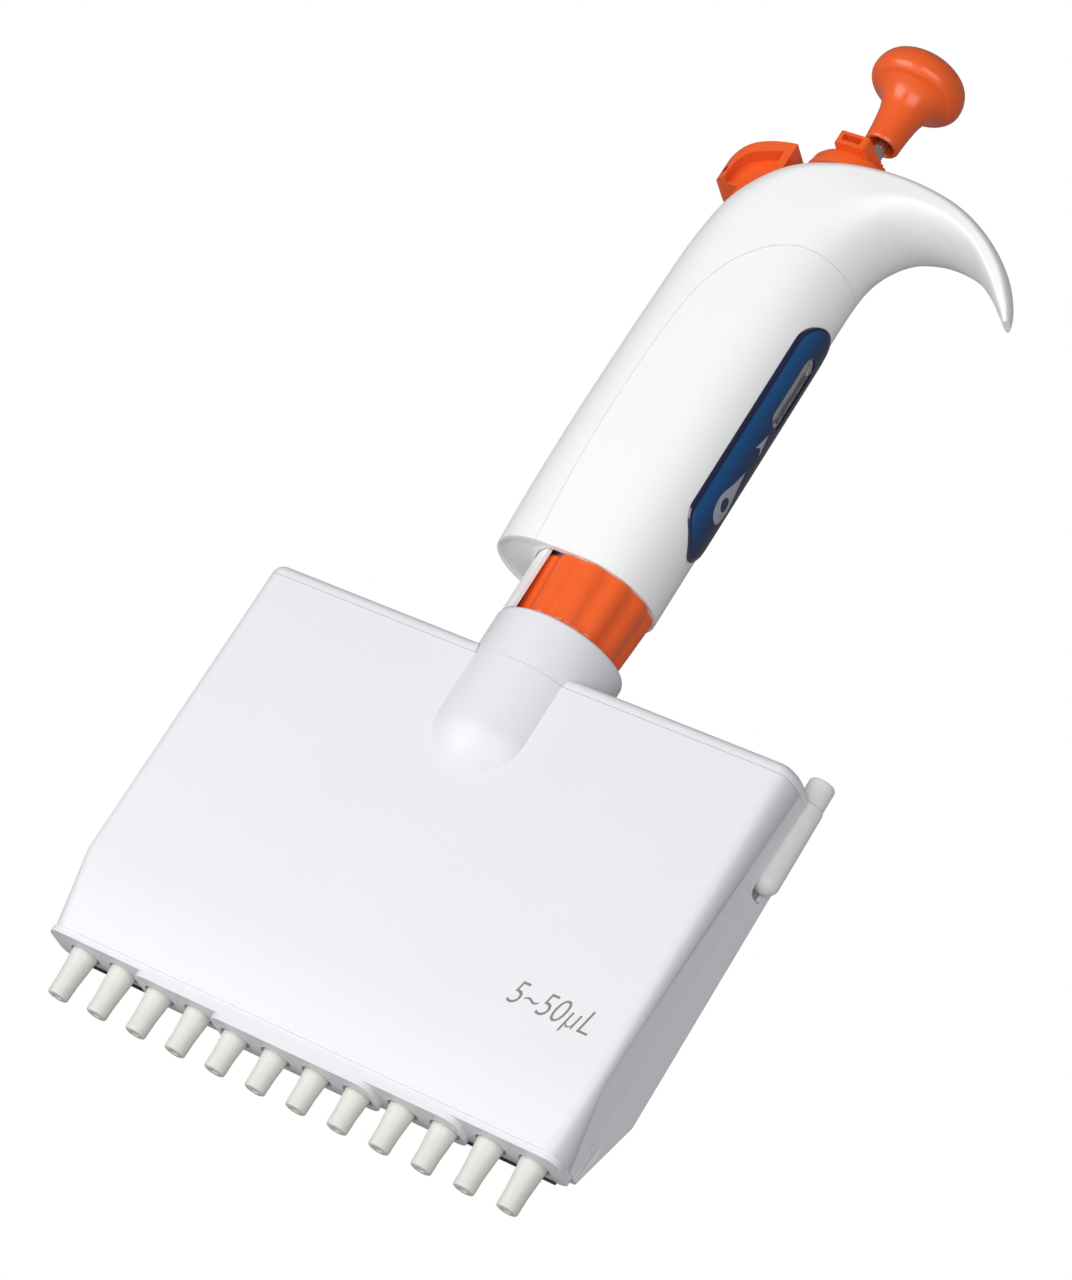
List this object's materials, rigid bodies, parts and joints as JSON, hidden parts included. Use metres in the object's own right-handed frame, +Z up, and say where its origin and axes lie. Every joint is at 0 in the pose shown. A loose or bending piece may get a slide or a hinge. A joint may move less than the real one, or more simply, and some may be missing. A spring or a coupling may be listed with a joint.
{
  "type": "multichannel pipette",
  "caption": "Hand-held multichannel pipette: flat head with a row of nozzles on a swivelling joint, grip with finger hook, orange plunger knob, tip ejector button and lock nut.",
  "frame": {"origin": "middle of the nozzle row, in the plane of the nozzle ends", "axes": "+Z up the handle towards the plunger knob, +X along the nozzle row towards the side the finger hook points to, -Y is the front of the head"},
  "size_m": [0.1214, 0.027, 0.249],
  "materials": {
    "handle_white": "satin warm white",
    "head_white": "satin cool light grey",
    "orange_plastic": "satin orange",
    "nozzle_ivory": "smooth moulded",
    "label_blue": "metallic blue, clear coated",
    "window_clear": "clear",
    "digit_white": "matt",
    "steel_bright": "ground",
    "spring_steel": "drawn wire",
    "screw_steel": "plain",
    "frame_alloy": "bead blasted",
    "inner_grey": "moulded",
    "seal_rubber": "matt"
  },
  "bodies": {
    "handle": {"handle_shell": "handle_white", "front_cover": "handle_white", "label_plate": "label_blue", "display_window": "window_clear", "chassis": "inner_grey", "counter_frame": "inner_grey", "rod_guide": "inner_grey", "blowout_washer": "screw_steel", "blowout_spring": "spring_steel", "stroke_spring": "spring_steel", "ejector_spring": "spring_steel"},
    "volume_sleeve": {"volume_sleeve": "inner_grey"},
    "wheel_ones": {"counter_wheel_ones": "digit_white"},
    "wheel_tens": {"counter_wheel_tens": "digit_white"},
    "wheel_hundreds": {"counter_wheel_hundreds": "digit_white"},
    "plunger": {"plunger_rod": "steel_bright", "stop_collar": "inner_grey"},
    "knob": {"knob": "orange_plastic"},
    "lock_lever": {"lock_lever": "orange_plastic"},
    "ejector": {"ejector_button": "orange_plastic", "ejector_rod": "steel_bright", "ejector_arm": "head_white"},
    "lock_nut": {"lock_nut": "orange_plastic"},
    "head": {"swivel_connector": "inner_grey", "head_frame": "frame_alloy", "cylinder_block": "frame_alloy", "seal_retainer": "frame_alloy", "piston_seals": "seal_rubber", "retainer_screws": "screw_steel", "guide_rods": "steel_bright", "side_post_left": "steel_bright", "side_post_right": "steel_bright", "side_spring_left": "spring_steel", "side_spring_right": "spring_steel", "piston_springs": "spring_steel", "nozzle_01": "nozzle_ivory", "nozzle_02": "nozzle_ivory", "nozzle_03": "nozzle_ivory", "nozzle_04": "nozzle_ivory", "nozzle_05": "nozzle_ivory", "nozzle_06": "nozzle_ivory", "nozzle_07": "nozzle_ivory", "nozzle_08": "nozzle_ivory", "nozzle_09": "nozzle_ivory", "nozzle_10": "nozzle_ivory", "nozzle_11": "nozzle_ivory", "nozzle_12": "nozzle_ivory"},
    "pistons": {"pistons": "steel_bright", "piston_bar": "frame_alloy", "push_rod": "steel_bright"},
    "ejector_shell": {"front_shell": "head_white", "rear_shell": "head_white", "ejector_collar": "head_white", "stripper_comb": "head_white", "side_tube_left": "head_white", "side_tube_right": "head_white", "side_cap_left": "head_white", "side_cap_right": "head_white", "shell_screws": "screw_steel"}
  },
  "joints": [
    {"name": "plunger_slide", "type": "slide", "parent": "handle", "child": "plunger", "axis": [0, 0, 1], "range_m": [-0.012, 0], "stiffness_N_per_m": 300, "springref_m": 0.008, "deforming": ["stroke_spring", "blowout_spring"]},
    {"name": "knob_turn", "type": "hinge", "parent": "plunger", "child": "knob", "pos_m": [0, 0, 0.236], "axis": [0, 0, 1], "range_deg": [-1620, 0]},
    {"name": "sleeve_turn", "type": "hinge", "parent": "handle", "child": "volume_sleeve", "pos_m": [0, 0, 0.18], "axis": [0, 0, 1], "range_deg": [-1620, 0]},
    {"name": "ones_turn", "type": "hinge", "parent": "handle", "child": "wheel_ones", "pos_m": [0, 0, 0.163], "axis": [0, 0, 1], "range_deg": [-1620, 0]},
    {"name": "tens_turn", "type": "hinge", "parent": "handle", "child": "wheel_tens", "pos_m": [0, 0, 0.168], "axis": [0, 0, 1], "range_deg": [-162, 0]},
    {"name": "hundreds_turn", "type": "hinge", "parent": "handle", "child": "wheel_hundreds", "pos_m": [0, 0, 0.173], "axis": [0, 0, 1], "range_deg": [-16.2, 0]},
    {"name": "lock_lever_turn", "type": "hinge", "parent": "handle", "child": "lock_lever", "pos_m": [0, 0, 0.216], "axis": [0, 0, 1], "range_deg": [-20, 0]},
    {"name": "ejector_slide", "type": "slide", "parent": "handle", "child": "ejector", "axis": [0, 0, 1], "range_m": [-0.007, 0], "stiffness_N_per_m": 400, "springref_m": 0.006, "deforming": ["ejector_spring"]},
    {"name": "lock_nut_turn", "type": "hinge", "parent": "handle", "child": "lock_nut", "pos_m": [0, 0, 0.108], "axis": [0, 0, 1], "range_deg": [0, 60]},
    {"name": "head_swivel", "type": "hinge", "parent": "handle", "child": "head", "pos_m": [0, 0, 0.104], "axis": [0, 0, 1], "continuous": true},
    {"name": "piston_slide", "type": "slide", "parent": "head", "child": "pistons", "axis": [0, 0, 1], "range_m": [-0.012, 0], "deforming": ["piston_springs"]},
    {"name": "shell_slide", "type": "slide", "parent": "head", "child": "ejector_shell", "axis": [0, 0, 1], "range_m": [-0.007, 0], "deforming": ["side_spring_left", "side_spring_right"]}
  ],
  "couplings": [
    {"joint": "sleeve_turn", "follows": "knob_turn", "ratio": 1},
    {"joint": "ones_turn", "follows": "knob_turn", "ratio": 1},
    {"joint": "tens_turn", "follows": "knob_turn", "ratio": 0.1},
    {"joint": "hundreds_turn", "follows": "knob_turn", "ratio": 0.01},
    {"joint": "piston_slide", "follows": "plunger_slide", "ratio": 1},
    {"joint": "shell_slide", "follows": "ejector_slide", "ratio": 1}
  ]
}
